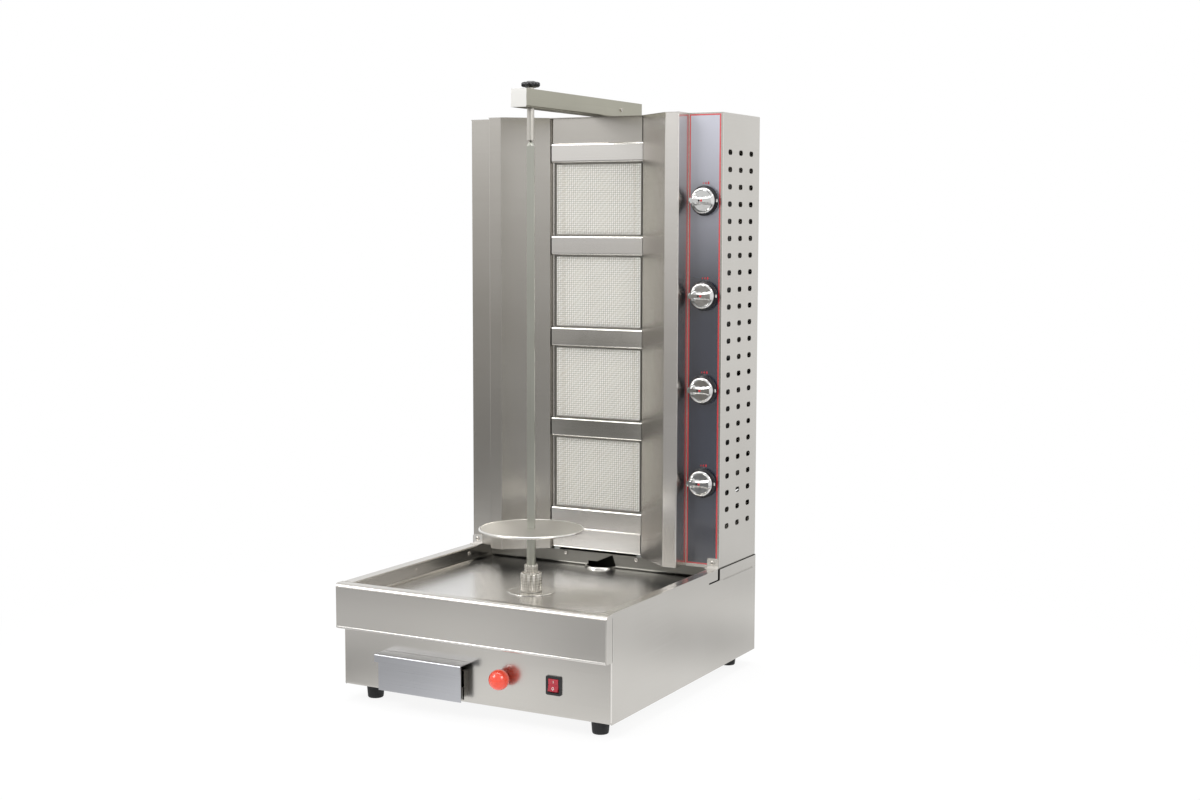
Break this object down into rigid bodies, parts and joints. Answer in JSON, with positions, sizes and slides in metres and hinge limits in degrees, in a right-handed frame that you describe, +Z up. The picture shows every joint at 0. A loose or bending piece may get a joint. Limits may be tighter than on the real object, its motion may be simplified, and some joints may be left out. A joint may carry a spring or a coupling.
{
  "type": "gas doner kebab grill",
  "caption": "Upright gas doner grill with a stack of infrared burners, folded reflectors, a motor-driven vertical spit over a drip tray, and a grease drawer below.",
  "frame": {"origin": "on the standing plane, under the middle of the overall box", "axes": "+Z up, +Y from the front panel to the rear, +X to the right seen from the front"},
  "size_m": [0.505, 0.604, 1.0158],
  "materials": {
    "brushed_stainless": "brushed",
    "polished_stainless": "polished",
    "plated_steel": "polished",
    "zinc_steel": "satin",
    "cast_case": "cast",
    "black_rubber": "matte",
    "black_plastic": "satin",
    "red_plastic": "gloss",
    "panel_film": "gloss",
    "chrome_plastic": "polished",
    "ceramic": "matte",
    "mesh_wire": "satin",
    "brass": "machined"
  },
  "bodies": {
    "housing": {"base_floor_pan": "brushed_stainless", "base_front_panel": "brushed_stainless", "base_left_panel": "brushed_stainless", "base_rear_panel": "brushed_stainless", "base_right_panel": "brushed_stainless", "burner_housings": "zinc_steel", "burner_posts": "zinc_steel", "cable_gland": "black_plastic", "carriage_rails": "zinc_steel", "ceramic_plates": "ceramic", "column_bars": "brushed_stainless", "column_lower_panel": "brushed_stainless", "column_top_panel": "brushed_stainless", "control_film": "panel_film", "control_panel": "brushed_stainless", "corner_brackets": "brushed_stainless", "drain_spout": "polished_stainless", "drawer_runners": "zinc_steel", "front_fascia": "brushed_stainless", "gas_manifold": "zinc_steel", "gas_valves": "brass", "left_reflector": "brushed_stainless", "mesh_screens": "mesh_wire", "mixer_tubes": "zinc_steel", "panel_screws": "plated_steel", "right_reflector": "brushed_stainless", "rubber_feet": "black_rubber", "switch_bezel": "black_plastic", "tower_back_panel": "brushed_stainless", "tower_left_panel": "brushed_stainless", "tower_right_panel": "brushed_stainless", "tower_top_plate": "brushed_stainless", "tray_floor": "polished_stainless", "tray_left_wall": "brushed_stainless", "tray_rear_wall": "brushed_stainless", "tray_right_wall": "brushed_stainless"},
    "drawer": {"drawer_box": "brushed_stainless", "drawer_front": "brushed_stainless"},
    "rocker": {"rocker": "red_plastic"},
    "carriage": {"motor_carriage": "zinc_steel", "gear_motor": "cast_case", "pull_rod": "zinc_steel", "ball_knob": "red_plastic", "shaft_cover_disc": "polished_stainless"},
    "spit": {"drive_coupling": "polished_stainless", "output_shaft": "zinc_steel", "spit": "polished_stainless"},
    "meat_disc": {"meat_disc": "brushed_stainless"},
    "arm_slider": {"arm_pivot_bolt": "plated_steel"},
    "arm": {"support_arm": "brushed_stainless"},
    "pin": {"top_pin": "polished_stainless", "star_knob": "black_plastic"},
    "stem_1": {"valve_stem_1": "plated_steel"},
    "knob_1": {"knob_1": "chrome_plastic"},
    "stem_2": {"valve_stem_2": "plated_steel"},
    "knob_2": {"knob_2": "chrome_plastic"},
    "stem_3": {"valve_stem_3": "plated_steel"},
    "knob_3": {"knob_3": "chrome_plastic"},
    "stem_4": {"valve_stem_4": "plated_steel"},
    "knob_4": {"knob_4": "chrome_plastic"}
  },
  "joints": [
    {"name": "drawer_slide", "type": "slide", "parent": "housing", "child": "drawer", "axis": [0, -1, 0], "range_m": [0, 0.25]},
    {"name": "rocker_tilt", "type": "hinge", "parent": "housing", "child": "rocker", "pos_m": [0.1495, -0.26275, 0.0747], "axis": [1, 0, 0], "range_deg": [0, 12]},
    {"name": "carriage_slide", "type": "slide", "parent": "housing", "child": "carriage", "axis": [0, -1, 0], "range_m": [0, 0.028]},
    {"name": "spit_spin", "type": "hinge", "parent": "carriage", "child": "spit", "pos_m": [0, -0.08575, 0.5], "axis": [0, 0, 1], "continuous": true},
    {"name": "disc_slide", "type": "slide", "parent": "spit", "child": "meat_disc", "axis": [0, 0, 1], "range_m": [0, 0.6]},
    {"name": "arm_slide", "type": "slide", "parent": "housing", "child": "arm_slider", "axis": [0, -1, 0], "range_m": [0, 0.028]},
    {"name": "arm_swing", "type": "hinge", "parent": "arm_slider", "child": "arm", "pos_m": [0, 0.22625, 0.9714], "axis": [0, 0, 1], "range_deg": [-90, 90]},
    {"name": "pin_slide", "type": "slide", "parent": "arm", "child": "pin", "axis": [0, 0, 1], "range_m": [-0.003, 0.025]},
    {"name": "valve_push_1", "type": "slide", "parent": "housing", "child": "stem_1", "axis": [0, 1, 0], "range_m": [0, 0.003], "stiffness_N_per_m": 1200},
    {"name": "valve_turn_1", "type": "hinge", "parent": "stem_1", "child": "knob_1", "pos_m": [0.2186, 0.11125, 0.345], "axis": [0, -1, 0], "range_deg": [0, 180]},
    {"name": "valve_push_2", "type": "slide", "parent": "housing", "child": "stem_2", "axis": [0, 1, 0], "range_m": [0, 0.003], "stiffness_N_per_m": 1200},
    {"name": "valve_turn_2", "type": "hinge", "parent": "stem_2", "child": "knob_2", "pos_m": [0.2186, 0.11125, 0.5048], "axis": [0, -1, 0], "range_deg": [0, 180]},
    {"name": "valve_push_3", "type": "slide", "parent": "housing", "child": "stem_3", "axis": [0, 1, 0], "range_m": [0, 0.003], "stiffness_N_per_m": 1200},
    {"name": "valve_turn_3", "type": "hinge", "parent": "stem_3", "child": "knob_3", "pos_m": [0.2186, 0.11125, 0.6646], "axis": [0, -1, 0], "range_deg": [0, 180]},
    {"name": "valve_push_4", "type": "slide", "parent": "housing", "child": "stem_4", "axis": [0, 1, 0], "range_m": [0, 0.003], "stiffness_N_per_m": 1200},
    {"name": "valve_turn_4", "type": "hinge", "parent": "stem_4", "child": "knob_4", "pos_m": [0.2186, 0.11125, 0.8244], "axis": [0, -1, 0], "range_deg": [0, 180]}
  ],
  "couplings": [
    {"joint": "arm_slide", "follows": "carriage_slide", "ratio": 1}
  ]
}
